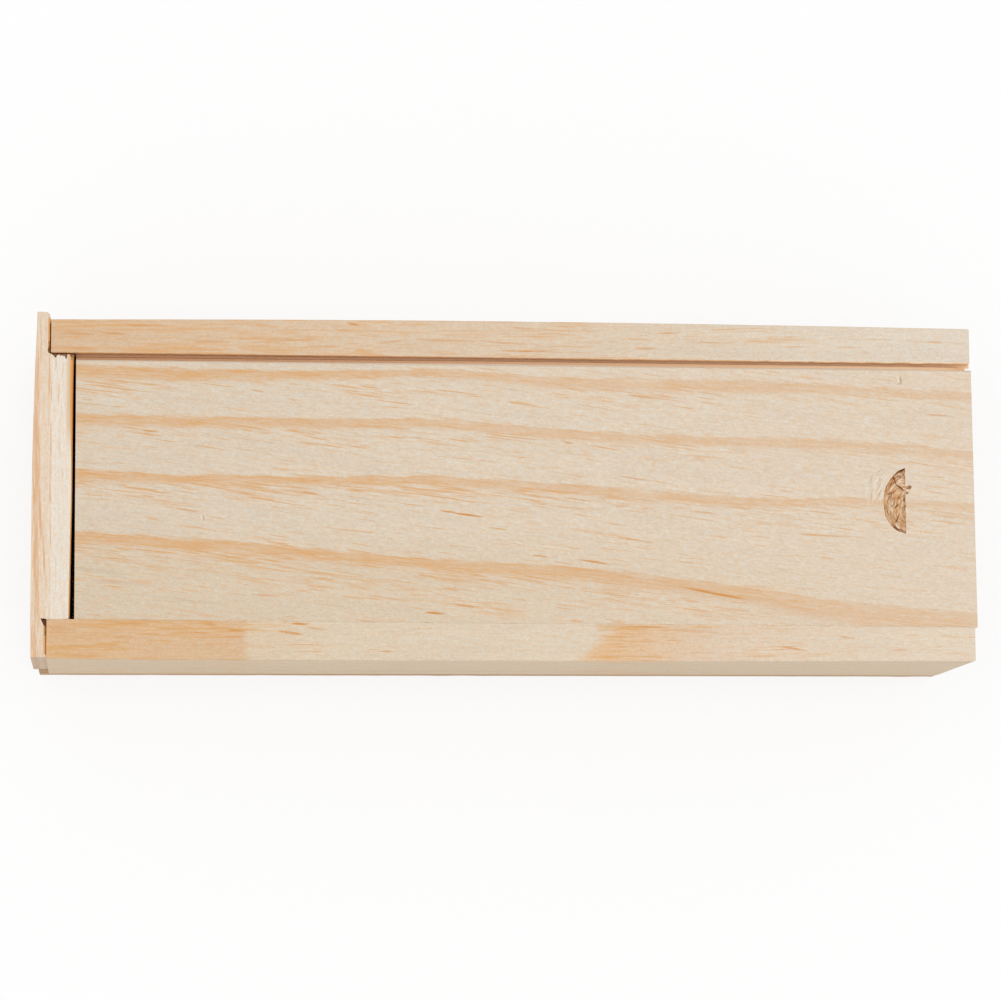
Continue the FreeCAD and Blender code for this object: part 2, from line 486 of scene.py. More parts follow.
# Single resin streaks on the lid's top
LID_STREAKS = (
    (21.5, 12.3, 2.0, -0.1, 0.22, 0.8),
    (29.5, -4.6, 2.7, -0.15, 0.18, 0.7),
    (43.7, -22.7, 6.0, -0.05, 0.18, 0.5),
    (44.5, 21.2, 1.7, -0.17, 0.22, 0.6),
    (53.3, -19.2, 3.0, -0.11, 0.25, 0.8),
    (55.8, -0.7, 2.0, -0.1, 0.25, 0.7),
    (77.0, 6.2, 1.6, -0.11, 0.2, 0.6),
    (82.7, -26.5, 2.6, -0.08, 0.28, 1.0),
    (85.4, -4.6, 2.0, -0.12, 0.25, 0.8),
    (89.7, -5.3, 3.6, -0.13, 0.25, 1.0),
    (89.7, -25.0, 3.4, -0.15, 0.28, 0.7),
    (99.3, 22.1, 2.8, -0.15, 0.25, 0.7),
    (105.3, -14.1, 2.0, -0.12, 0.22, 0.7),
    (111.5, 10.6, 1.2, -0.15, 0.22, 0.8),
    (117.8, -15.4, 4.8, -0.13, 0.25, 0.9),
    (125.7, 2.9, 3.5, -0.15, 0.2, 0.5),
    (127.3, -10.7, 7.0, -0.18, 0.18, 0.5),
    (127.8, 20.8, 3.5, -0.11, 0.25, 0.6),
    (141.0, -4.4, 3.0, -0.1, 0.2, 0.5),
    (143.0, -22.0, 7.5, -0.185, 0.3, 1.0),
    (165.0, -9.2, 8.5, -0.05, 0.25, 0.5),
    (192.5, 17.3, 2.8, -0.06, 0.2, 0.6),
)
# Grey streaks at the lid's near left corner
GREY_STREAKS = (
    (10.5, -17.8, 6.0, -0.1, 0.6, 0.5),
    (16.0, -20.4, 8.0, -0.08, 0.5, 0.4),
    (30.0, -24.0, 9.0, -0.1, 0.5, 0.35),
)
# Finger nail dents: each has a dark side and a pale side
DENTS = (
    (184.65, 25.0, 0.3, -1.6, 0.85, 0.8),
    (184.3, 24.2, 0.6, 0.3, 0.2, 0.6),
    (33.0, -6.3, 0.26, -1.8, 0.55, 0.7),
)
NICKS = (
    (184.15, 25.1, 0.3, -1.6, 0.8, 0.6),
    (32.6, -6.2, 0.26, -1.8, 0.5, 0.6),
)
# Deep cracks in the torn notch
NOTCH_CRACKS = (
    (183.1, 3.0, 0.5, -2.3, 0.5, 1.0),
    (184.3, 1.4, 1.0, -0.8, 0.28, 1.0),
    (186.1, 1.3, 0.5, 0.6, 0.25, 0.8),
    (185.7, 0.3, 0.4, -0.8, 0.25, 0.8),
    (183.4, -2.7, 0.6, 0.9, 0.25, 0.9),
    (183.5, -5.4, 0.5, 2.0, 0.4, 0.9),
    (181.95, 0.1, 0.6, 0.35, 0.18, 0.8),
    (184.7, 5.2, 0.5, 0.7, 0.35, 1.0),
    (184.1, 3.8, 0.4, -1.2, 0.25, 0.7),
    (184.3, -7.9, 0.6, -0.5, 0.22, 0.8),
)

# Single resin streaks on the side boards' tops
FAR_STREAKS = (
    (5.0, 30.3, 4.0, -0.05, 0.3, 0.55),
    (6.5, 33.4, 4.0, -0.03, 0.65, 0.5),
    (12.5, 33.4, 5.5, -0.08, 0.35, 0.65),
    (19.0, 35.2, 3.0, -0.03, 0.3, 0.45),
    (35.0, 31.9, 8.0, 0.02, 0.3, 0.45),
    (42.5, 35.6, 5.0, -0.02, 0.3, 0.45),
    (50.5, 32.4, 8.0, 0.02, 0.3, 0.5),
    (59.0, 31.0, 5.5, 0.03, 0.35, 0.3),
    (63.0, 34.6, 2.0, -0.02, 0.2, 0.6),
    (65.0, 35.9, 1.5, -0.15, 0.25, 0.9),
    (73.0, 32.1, 5.0, 0.15, 0.25, 0.4),
    (85.0, 32.6, 8.0, -0.03, 0.25, 0.45),
    (99.5, 32.1, 7.5, -0.05, 0.25, 0.4),
    (101.5, 35.5, 3.0, -0.03, 0.25, 0.5),
    (104.5, 30.4, 8.5, -0.01, 0.25, 0.95),
    (128.5, 31.3, 2.5, -0.03, 0.25, 0.5),
    (134.0, 34.8, 3.5, 0.04, 0.25, 0.65),
    (140.0, 32.8, 5.0, -0.01, 0.2, 0.55),
)
NEAR_STREAKS = (
    (3.5, -30.1, 3.5, -0.05, 0.5, 0.25),
    (8.0, -35.8, 5.5, -0.01, 0.25, 0.25),
    (16.5, -31.9, 2.5, -0.03, 0.35, 0.3),
    (18.5, -29.0, 3.5, -0.03, 0.3, 0.5),
    (34.0, -31.0, 4.0, -0.05, 0.25, 0.65),
    (34.5, -29.1, 1.5, -0.07, 0.3, 0.6),
    (40.0, -30.4, 2.0, -0.1, 0.4, 0.5),
    (40.5, -31.8, 1.5, -0.08, 0.3, 0.55),
    (51.5, -30.8, 3.0, -0.15, 0.35, 0.85),
    (53.5, -28.9, 2.0, -0.04, 0.3, 0.95),
    (57.0, -29.9, 2.5, -0.13, 0.25, 0.5),
    (71.0, -34.6, 2.5, -0.09, 0.25, 0.8),
    (127.5, -29.3, 6.5, -0.02, 0.2, 0.85),
    (130.0, -32.0, 3.5, -0.02, 0.3, 0.6),
    (138.0, -30.2, 6.5, -0.06, 0.35, 0.4),
    (160.0, -33.9, 3.0, -0.13, 0.25, 0.75),
    (172.0, -31.5, 2.0, -0.13, 0.2, 0.8),
    (183.0, -34.0, 2.5, -0.08, 0.45, 0.35),
)

# Bundles of orange grain lines along the lip: middle x over y, half width and strength
LIP_LINES = (
    (((-36, -2.3), (-24, -2.3), (-14, -2.2), (0, -2.5), (20, -2.7), (38, -2.1)), 0.8, 1.3),
    (((-36, -0.6), (-30, -0.4), (-20, -0.3), (-12, -1.0), (-8, -1.5), (38, -1.6)), 0.3, 1.1),
    (((-36, 0.6), (-10, 0.5), (10, 0.35), (38, 0.2)), 0.25, 0.9),
)


# ---- materials

# Lid: the worn far edge of its field, and where the field gives way to ledge and tongue
RIM_Y = 27.25
RIM_SKEW = 0.0018
LEDGE_Y = 27.2
# Far side board: its orange inner arris, with painted light on it, which runs slightly askew
FAR_ARRIS_Y = 29.05
FAR_ARRIS_SKEW = 0.00165
# Near side board: where its first tone ends, and the slanted line where its third starts
FIRST_TONE_END = 39.6
THIRD_TONE_START = 154.8
THIRD_TONE_SLANT = 1.13
# Height of the grain's relief, m, and the strength of the bare wood's sheen
RELIEF = 0.00006
SHEEN = 0.3


class Nodes:
    """Short ways to add and wire the nodes of a material or a world."""

    def __init__(self, owner):
        owner.use_nodes = True
        self.tree = owner.node_tree
        self.tree.nodes.clear()

    def add(self, kind, *values, **settings):
        """A new shader node with these settings, whose first inputs are the values."""
        node = self.tree.nodes.new("ShaderNode" + kind)
        for name, setting in settings.items():
            setattr(node, name, setting)
        for socket, value in zip(node.inputs, values):
            self.put(socket, value)
        return node

    def put(self, socket, value):
        if isinstance(value, bpy.types.NodeSocket):
            self.tree.links.new(value, socket)
        else:
            socket.default_value = value


class Wood(Nodes):
    """One board's material, worked out in rail coordinates."""

    def __init__(self, name):
        self.material = bpy.data.materials.new(name)
        super().__init__(self.material)
        place = self.add("TexCoord").outputs["Object"]
        self.rail = self.vector("MULTIPLY_ADD", place, (1000,) * 3, tuple(RAIL_ORIGIN))
        self.x, self.y, self.z = self.split(self.rail)
        self.facing = self.split(self.add("TexCoord").outputs["Normal"])

    def math(self, operation, *values, clamp=False):
        return self.add("Math", *values, operation=operation, use_clamp=clamp).outputs[0]

    def linear(self, value, factor, offset, clamp=False):
        """value * factor + offset"""
        return self.math("MULTIPLY_ADD", value, factor, offset, clamp=clamp)

    def plus(self, *values):
        total = values[0]
        for value in values[1:]:
            total = self.math("ADD", total, value)
        return total

    def minus(self, value, other):
        return self.math("SUBTRACT", value, other)

    def times(self, *values):
        total = values[0]
        for value in values[1:]:
            total = self.math("MULTIPLY", total, value)
        return total

    def vector(self, operation, *values):
        return self.add("VectorMath", *values, operation=operation).outputs[0]

    def split(self, vector):
        return tuple(self.add("SeparateXYZ", vector).outputs)

    def join(self, x, y, z):
        return self.add("CombineXYZ", x, y, z).outputs[0]

    def ease(self, value, low, high):
        """0 at low and 1 at high, with a smooth change between them. low may be above high."""
        ends = (low, high, 0, 1) if low < high else (high, low, 1, 0)
        return self.add("MapRange", value, *ends, interpolation_type="SMOOTHSTEP").outputs[0]

    def share(self, value, first, last):
        """0 at first and 1 at last, and no further."""
        return self.math("DIVIDE", self.minus(value, first), last - first, clamp=True)

    def curve(self, value, points, low, high):
        """Smooth curve through (place, value) points. The values lie between low and high."""
        first, last = points[0][0], points[-1][0]
        node = self.add("FloatCurve", 1.0, self.share(value, first, last))
        line = node.mapping.curves[0]
        while len(line.points) < len(points):
            line.points.new(0.5, 0.5)
        for point, (place, number) in zip(line.points, points):
            point.location = ((place - first) / (last - first), (number - low) / (high - low))
        node.mapping.update()
        return self.linear(node.outputs[0], high - low, low)

    def ramp(self, value, *stops):
        """Colour from (place, colour) stops."""
        first, last = stops[0][0], stops[-1][0]
        node = self.add("ValToRGB", self.share(value, first, last))
        marks = node.color_ramp.elements
        while len(marks) < len(stops):
            marks.new(0.5)
        for mark, (place, colour) in zip(marks, stops):
            mark.position = (place - first) / (last - first)
            mark.color = colour
        return node.outputs[0]

    def scaled(self, colour, shade):
        node = self.add("VectorMath", colour, operation="SCALE")
        self.put(node.inputs["Scale"], shade)
        return node.outputs[0]

    def away(self, value, middle):
        """Distance of the value from the middle."""
        return self.math("ABSOLUTE", self.minus(value, middle))

    def window(self, value, start, full, fading, end):
        """1 between full and fading, and 0 before start and after end."""
        return self.times(self.ease(value, start, full), self.ease(value, end, fading))

    def mix(self, share, one, other):
        node = self.add("Mix", share, data_type="RGBA")
        self.put(node.inputs[6], one)
        self.put(node.inputs[7], other)
        return node.outputs[2]

    def cells(self, vector, size, seed):
        """The vector in cells of size = (along, across, deep) mm, at a place of its own."""
        return self.vector("MULTIPLY_ADD", vector, tuple(1 / s for s in size), (seed, -seed, seed))

    def noise(self, vector, size, seed, detail=2.0, roughness=0.5):
        """Noise from 0 to 1 whose features have that size."""
        node = self.add("TexNoise", self.cells(vector, size, seed))
        node.inputs["Scale"].default_value = 1.0
        node.inputs["Detail"].default_value = detail
        node.inputs["Roughness"].default_value = roughness
        return node.outputs["Fac"]

    def streak(self, x, y, half_length, slope, half_width, strength):
        """One drawn-out mark on the top face."""
        along = self.minus(self.x, x)
        across = self.plus(self.y, self.times(along, -slope), -y)
        far = 0.0
        for off, half in ((along, half_length), (across, half_width)):
            share = self.math("ABSOLUTE", self.math("DIVIDE", off, half))
            far = self.plus(self.math("POWER", share, 2), far)
        return self.times(self.ease(far, 1.3, 0.2), strength)

    def most(self, places):
        """All the single marks at once."""
        total = 0.0
        for place in places:
            total = self.math("MAXIMUM", total, self.streak(*place))
        return total

    def specks(self, vector, size, seed, share, reach):
        """Scattered drawn-out marks. share of the cells of that size hold one, 0 to 1 dark."""
        node = self.add("TexVoronoi", self.cells(vector, size, seed), feature="F1")
        node.inputs["Scale"].default_value = 1.0
        red, green, blue = self.split(node.outputs["Color"])
        kept = self.math("LESS_THAN", red, share)
        radius = self.linear(green, 0.7 * reach, 0.3 * reach)
        near = self.minus(1.0, self.math("DIVIDE", node.outputs["Distance"], radius))
        dark = self.linear(blue, 0.6, 0.4)
        return self.times(self.ease(near, 0.0, 0.6), kept, dark)


class Grain:
    """The parts of pine that every board shares: fibres, mottling, clouds and streaks."""

    def __init__(self, wood, axis, seed, slope=0.0):
        self.wood = wood
        along, across = (wood.x, wood.y) if axis == "X" else (wood.y, wood.x)
        drift = wood.noise(wood.rail, (60, 60, 60), seed + 3, detail=1)
        across = wood.plus(across, wood.times(along, -slope), wood.linear(drift, 1.6, -0.8))
        self.across = across
        self.vector = wood.join(along, across, wood.z)
        self.fibre = wood.noise(self.vector, (6, 0.4, 0.4), seed, 2, 0.55)
        self.mottle = wood.noise(self.vector, (0.6, 0.32, 0.32), seed + 11, 1)
        self.cloud = wood.noise(self.vector, (30, 4, 4), seed + 23, 3)
        self.warm = wood.noise(self.vector, (1.6, 0.6, 0.6), seed + 47, 2, 0.7)
        self.haze = wood.noise(self.vector, (10, 0.9, 0.9), seed + 53, 2, 0.6)
        coarse = wood.noise(self.vector, (9.0, 0.5, 0.5), seed + 31, 1, 0.5)
        fine = wood.noise(self.vector, (3.0, 0.26, 0.26), seed + 37, 1, 0.5)
        self.dash = wood.linear(coarse, 0.72, wood.times(fine, 0.28))
        self.thin = wood.noise(self.vector, (9.0, 0.3, 0.3), seed + 67, 1, 0.5)
        ends, sides = (0, 1) if axis == "X" else (1, 0)
        self.end = wood.ease(wood.math("ABSOLUTE", wood.facing[ends]), 0.55, 0.8)
        self.side = wood.math("ABSOLUTE", wood.facing[sides])

    def texture(self, colour, fibre, mottle, cloud, warm):
        """The colour with its brightness and warmth varied, each noise by its own amount."""
        wood = self.wood
        light = 0.0
        for amount, source in ((fibre, self.fibre), (mottle, self.mottle), (cloud, self.cloud)):
            light = wood.linear(wood.minus(source, 0.5), amount, light)
        lively = wood.linear(self.side, 0.35, 1.0)
        light = wood.linear(light, lively, 1.0)
        warmer = wood.minus(self.warm, 0.5)
        tint = wood.join(1.0, wood.linear(warmer, -warm / 2, 1.0), wood.linear(warmer, -warm, 1.0))
        return wood.scaled(wood.vector("MULTIPLY", colour, tint), light)

    def streaks(self, density):
        """Resin in the grain: soft patches, dashes and thin lines. They close up with density."""
        wood = self.wood
        haze = wood.ease(wood.linear(density, 0.2, self.haze), 0.52, 0.78)
        dash = wood.ease(wood.linear(density, 0.14, self.dash), 0.6, 0.76)
        thin = wood.ease(wood.linear(density, 0.15, self.thin), 0.62, 0.7)
        both = wood.math("MAXIMUM", wood.times(haze, 0.4), wood.times(dash, 0.8))
        return wood.math("MAXIMUM", both, wood.times(thin, 0.75))

    def marks(self, places):
        """Single streaks of resin, frayed along the fibres."""
        return self.wood.times(self.wood.most(places), self.wood.ease(self.dash, 0.36, 0.52))

    def pores(self, colour, seed):
        """The colour with a few dark specks."""
        specks = self.wood.specks(self.vector, (5, 3, 3), seed, 0.3, 0.06)
        return self.wood.mix(self.wood.times(specks, 0.5), colour, SPECK)

    def rings(self, spacing, tilt, seed):
        """Growth rings, 0 in early wood to 1 at the sharp end of the late wood, frayed a little."""
        wood = self.wood
        swing = wood.noise(self.vector, (110, 16, 16), seed, 1)
        swing = wood.linear(swing, 9.0, -4.5)
        fray = wood.linear(self.fibre, 0.9, -0.45)
        place = wood.plus(self.across, wood.times(wood.z, tilt), fray, swing)
        turn = wood.math("FRACT", wood.math("DIVIDE", place, spacing))
        late = wood.times(turn, turn, turn)
        return wood.times(late, wood.ease(turn, 1.0, 0.88))


def finish_wood(wood, grain, colour, relief, gloss):
    """End grain, relief and the shader, from the long grain's colour."""
    pores = wood.noise(grain.vector, (0.5, 0.35, 0.35), 41, 2, 0.7)
    end_shade = wood.linear(pores, 0.22, 0.7)
    end_tint = wood.vector("MULTIPLY", colour, (0.98, 0.98, 0.97))
    end_colour = wood.scaled(end_tint, end_shade)
    colour = wood.mix(grain.end, colour, end_colour)
    bump = wood.add("Bump")
    for name, value in (("Strength", 0.6), ("Distance", RELIEF), ("Height", relief)):
        wood.put(bump.inputs[name], value)
    shader = wood.add("BsdfPrincipled")
    wood.put(shader.inputs["Base Color"], colour)
    wood.put(shader.inputs["Roughness"], gloss)
    wood.put(shader.inputs["Normal"], bump.outputs[0])
    wood.put(shader.inputs["Specular IOR Level"], SHEEN)
    wood.add("OutputMaterial", shader.outputs[0])
    return wood.material


def ring_band(wood, grain, middles, widths, strengths, crowd):
    """One growth ring, of long threads of late wood, and the zone of streaks on its near side."""
    middle = wood.curve(wood.x, list(zip(BAND_X, middles)), -32, 32)
    half = wood.curve(wood.x, [(x, 0.6 * w) for x, w in zip(BAND_X, widths)], 0, 4)
    power = wood.curve(wood.x, list(zip(BAND_X, strengths)), 0, 1)
    ragged = wood.linear(grain.fibre, 1.6, -0.8)
    depth = wood.times(wood.minus(LID_TOP, wood.z), 0.6)
    off = wood.plus(wood.y, depth, ragged, wood.times(middle, -1))
    place = wood.math("DIVIDE", off, half)
    rise = wood.ease(place, -1.8, -0.3)
    fall = wood.ease(place, 1.3, 0.8)
    threads = wood.noise(wood.join(wood.x, off, 0.0), (12, 0.34, 1), 61.0, 1)
    threads = wood.linear(threads, 1.7, -0.22, clamp=True)
    band = wood.times(rise, fall, power, threads)
    below = wood.times(wood.ease(off, 0.5, -0.8), wood.ease(off, -8.0, -1.5), crowd)
    return band, below


def round_edge():
    """The notch's round edge, as (angle, radius) about the middle of its curve."""
    edge = []
    for y, x in NOTCH_ROUND:
        along, across = x - NOTCH_CENTRE[X], y - NOTCH_CENTRE[Y]
        edge.append((math.atan2(across, -along), math.hypot(along, across)))
    return edge


def around_notch(wood):
    """Distance from the middle of the notch's curve, and the angle about it."""
    along = wood.minus(wood.x, NOTCH_CENTRE[X])
    across = wood.minus(wood.y, NOTCH_CENTRE[Y])
    radius = wood.math("SQRT", wood.plus(wood.times(along, along), wood.times(across, across)))
    return radius, wood.math("ARCTAN2", across, wood.times(along, -1))


def scratches(wood):
    """Short curved scratches that finger nails have left beside the notch: pale and dark."""
    radius, angle = around_notch(wood)
    bent = wood.linear(angle, 1.5, radius)
    lines = wood.noise(wood.join(bent, wood.times(angle, 9.0), 0.0), (0.42, 2.4, 1), 3.0, 2, 0.6)
    zone = wood.times(
        wood.window(radius, 8.0, 8.8, 11.0, 12.8), wood.window(angle, -0.25, 0.1, 0.5, 0.8)
    )
    pale = wood.times(wood.ease(lines, 0.5, 0.6), zone)
    dark = wood.times(wood.ease(lines, 0.44, 0.36), zone)
    return pale, dark


def torn_colour(wood):
    """Torn fibres in the notch: tan, with brown cracks that follow its curve, a painted highlight
    along the inside of its round edge and painted shade right at that edge.
    """
    radius, angle = around_notch(wood)
    polar = wood.join(radius, wood.times(angle, 3.0), 0.0)
    skewed = wood.join(wood.linear(angle, 2.0, radius), wood.times(angle, 3.0), 0.0)
    patches = wood.noise(skewed, (0.55, 1.5, 1), 77.0, 3, 0.65)
    colour = wood.ramp(
        patches,
        (0.36, srgb(184, 130, 78)),
        (0.45, srgb(218, 172, 124)),
        (0.54, srgb(230, 196, 158)),
        (0.64, srgb(252, 238, 218)),
    )
    inside = wood.minus(wood.curve(angle, round_edge(), 7, 9), radius)
    # Orange torn fibres along the round edge, made bright as a painted highlight
    colour = wood.mix(wood.times(wood.ease(inside, 0.6, 0.4), 0.8), colour, srgb(236, 180, 118))
    # Painted shade in a thin line right at the round edge, at the foot of its wall
    colour = wood.mix(wood.ease(inside, 0.28, 0.12), colour, srgb(158, 108, 68))
    hairs = wood.noise(polar, (1.3, 2.6, 1), 13.0, 2, 0.6)
    hair = wood.ease(wood.away(hairs, 0.5), 0.02, 0.004)
    colour = wood.mix(wood.times(hair, 0.6), colour, srgb(160, 106, 58))
    return wood.mix(wood.most(NOTCH_CRACKS), colour, srgb(140, 86, 46))


def lid_grain(wood, grain):
    """The lid's long grain, marks and pores. Gives the rings and the single streaks too."""
    tone = wood.ramp(
        wood.x, (0, srgb(220, 203, 181)), (80, srgb(224, 207, 185)), (200, srgb(228, 210, 188))
    )
    low = wood.times(wood.ease(wood.y, -4.0, -20.0), wood.ease(wood.x, 220.0, 60.0))
    tone = wood.mix(low, tone, wood.vector("MULTIPLY", tone, (0.975, 0.95, 0.905)))
    colour = grain.texture(tone, 0.15, 0.25, 0.1, 0.72)
    band, below = 0.0, 0.0
    for shape in LID_BANDS:
        one, under = ring_band(wood, grain, *shape)
        band = wood.math("MAXIMUM", band, one)
        below = wood.math("MAXIMUM", below, under)
    cloud = wood.linear(grain.cloud, 2.0, -1.3)
    density = wood.plus(wood.times(band, 0.3), below, wood.times(low, 0.2), cloud)
    lively = wood.linear(wood.ease(wood.x, 165.0, 90.0), 0.28, 0.76)
    late = wood.math("MAXIMUM", band, wood.times(grain.streaks(density), lively))
    colour = wood.mix(late, colour, LATE_WOOD)
    colour = wood.mix(grain.marks(GREY_STREAKS), colour, srgb(202, 184, 162))
    colour = wood.mix(wood.most(DENTS), colour, srgb(196, 160, 124))
    colour = wood.mix(wood.most(NICKS), colour, srgb(242, 230, 212))
    marks = grain.marks(LID_STREAKS)
    colour = wood.mix(marks, colour, RESIN)
    return grain.pores(colour, 9.0), band, marks


def lid_edges(wood, colour):
    """A darker rim down the field's far edge, and the ledge and the tongues in raw wood colour with
    painted light that brightens them towards the right.
    """
    rim = wood.times(
        wood.ease(wood.plus(wood.y, wood.times(wood.x, RIM_SKEW)), RIM_Y, RIM_Y + 0.25),
        wood.ease(wood.z, LID_TOP - 0.4, LID_TOP - 0.2),
    )
    colour = wood.mix(wood.times(rim, 0.55), colour, srgb(194, 166, 138))
    tongue = wood.times(
        wood.ease(wood.z, LID_TOP - 0.25, LID_TOP - 0.6),
        wood.ease(wood.math("ABSOLUTE", wood.y), LEDGE_Y - 0.4, LEDGE_Y),
    )
    # Raw wood colour on the ledge and the tongues, with painted light that makes the slot brighter
    # towards the right
    tone = wood.ramp(
        wood.x, (10, srgb(222, 177, 138)), (120, srgb(236, 198, 160)), (200, srgb(248, 214, 176))
    )
    return wood.mix(tongue, colour, tone)


def lid_material():
    wood = Wood("lid_pine")
    grain = Grain(wood, "X", 5.0, slope=-0.12)
    colour, band, marks = lid_grain(wood, grain)
    raised, scratched = scratches(wood)
    colour = wood.mix(wood.times(raised, 0.45), colour, srgb(244, 232, 214))
    colour = wood.mix(wood.times(scratched, 0.6), colour, srgb(200, 160, 118))
    colour = lid_edges(wood, colour)
    in_notch = wood.times(
        wood.ease(wood.z, LID_TOP - 0.05, LID_TOP - 0.2),
        wood.ease(wood.away(wood.x, NOTCH_MIDDLE[X]), NOTCH_REACH[X], NOTCH_REACH[X] - 0.5),
        wood.ease(wood.away(wood.y, NOTCH_MIDDLE[Y]), NOTCH_REACH[Y], NOTCH_REACH[Y] - 0.5),
    )
    colour = wood.mix(in_notch, colour, torn_colour(wood))
    relief = wood.plus(
        wood.times(grain.fibre, 0.8), wood.times(grain.mottle, 0.6),
        wood.times(marks, -0.5), wood.times(raised, 0.5), wood.times(scratched, -0.5),
    )
    gloss = wood.linear(band, -0.12, 0.66)
    return finish_wood(wood, grain, colour, relief, gloss)


def finish_plain(wood, grain, tone, seed, growth, density, places, dark=LATE_WOOD):
    """Pine with rings of soft streaks, and single streaks of resin on its top at the places.

    growth is how much the rings crowd the streaks, their spacing and tilt, and their strength.
    """
    ring_share, spacing, tilt, strength = growth
    colour = grain.texture(tone, 0.14, 0.28, 0.12, 0.7)
    late = grain.rings(spacing, tilt, seed + 2)
    cloud = wood.linear(grain.cloud, 3, -1.5)
    density = wood.plus(wood.times(late, ring_share), cloud, density)
    on_face = wood.linear(grain.side, -0.4, 1.0)
    lined = wood.linear(grain.side, 0.45, strength)
    share = wood.plus(wood.times(late, lined), wood.times(grain.streaks(density), on_face))
    colour = wood.mix(wood.times(share, 0.85), colour, dark)
    if places:
        on_top = wood.ease(wood.facing[Z], 0.5, 0.9)
        colour = wood.mix(wood.times(on_top, grain.marks(places)), colour, RESIN)
    colour = grain.pores(colour, seed)
    relief = wood.plus(wood.times(grain.fibre, 0.8), wood.times(grain.mottle, 0.5))
    gloss = wood.linear(late, -0.1, 0.66)
    return finish_wood(wood, grain, colour, relief, gloss)


def plain_material(name, axis, seed, tone_stops, spacing, tilt, dark):
    """Pine whose tone runs along X, with no single streaks."""
    wood = Wood(name)
    grain = Grain(wood, axis, seed)
    tone = wood.ramp(wood.x, *tone_stops)
    return finish_plain(wood, grain, tone, seed, (0.3, spacing, tilt, 0.4), 0.3, (), dark)


def far_side_material():
    """Tan at its left end, paler to the right, with an orange inner arris whose face above the
    groove carries painted light that brightens towards the right.
    """
    wood = Wood("far_side_pine")
    grain = Grain(wood, "X", 2.0)
    tone = wood.ramp(
        wood.x,
        (0, srgb(219, 187, 153)),
        (60, srgb(222, 197, 168)),
        (110, srgb(223, 202, 177)),
        (160, srgb(225, 210, 189)),
        (200, srgb(227, 213, 195)),
    )
    inner = wood.plus(wood.y, wood.times(wood.x, FAR_ARRIS_SKEW), -FAR_ARRIS_Y)
    # Orange wood on the inner face above the groove, with painted light that makes it brighter
    # towards the right end
    lit = wood.ramp(wood.x, (50, srgb(210, 156, 104)), (190, srgb(250, 212, 168)))
    arris = wood.times(wood.ease(inner, 0.3, 0.08), wood.ease(wood.z, 40.5, 41.5))
    tone = wood.mix(wood.times(arris, 0.75), tone, lit)
    density = wood.curve(wood.x, ((0, 0.25), (60, 0.2), (120, -0.15), (200, -0.6)), -1, 1)
    return finish_plain(wood, grain, tone, 2.0, (0.3, 2.8, 0.6, 0.08), density, FAR_STREAKS)


def near_tone(wood, grain):
    """Three tones along the top: a tan length, a pale one and one that fades from tan."""
    first = wood.ramp(wood.x, (0, srgb(221, 183, 142)), (42, srgb(221, 187, 151)))
    second = wood.ramp(
        wood.x, (42, srgb(223, 200, 171)), (62, srgb(223, 205, 180)), (115, srgb(225, 208, 185))
    )
    third = wood.ramp(
        wood.x,
        (118, srgb(229, 190, 148)),
        (129, srgb(227, 195, 161)),
        (143, srgb(226, 203, 177)),
        (195, srgb(229, 212, 190)),
    )
    end = wood.linear(grain.dash, 5, FIRST_TONE_END)
    tone = wood.mix(wood.ease(wood.minus(wood.x, end), -0.5, 0.5), first, second)
    start = wood.plus(THIRD_TONE_START, wood.times(wood.y, THIRD_TONE_SLANT))
    start = wood.linear(wood.minus(0.5, grain.dash), 3, start)
    return wood.mix(wood.ease(wood.minus(wood.x, start), -2.2, 2.2), tone, third)


def near_side_material():
    wood = Wood("near_side_pine")
    grain = Grain(wood, "X", 17.0)
    side_tone = srgb(222, 204, 179)
    on_top = wood.ease(wood.z, BOX_TOP - 0.9, BOX_TOP - 0.15)
    tone = wood.mix(on_top, side_tone, near_tone(wood, grain))
    density = wood.curve(
        wood.x,
        ((0, 0.1), (41, 0.15), (44, 0.0), (62, -0.5), (112, -0.7), (122, 0.3), (134, 0.1),
         (150, -0.4), (200, -0.7)),
        -1,
        1,
    )
    growth = (0.15, 3.4, 0.6, 0.05)
    return finish_plain(wood, grain, tone, 17.0, growth, density, NEAR_STREAKS, NEAR_LATE)


def lip_lines(wood, grain):
    """Where the lip's grain lines lie, fading on its outer face."""
    ragged = wood.linear(grain.fibre, 0.8, -0.4)
    lines = 0.0
    for curve, half, strength in LIP_LINES:
        middle = wood.curve(wood.y, curve, -6, 6)
        off = wood.math("ABSOLUTE", wood.plus(wood.x, ragged, wood.times(middle, -1)))
        line = wood.times(wood.ease(off, 1.6 * half, 0.3 * half), strength)
        lines = wood.math("MAXIMUM", lines, line)
    return wood.times(lines, wood.linear(grain.side, -0.8, 1.0))


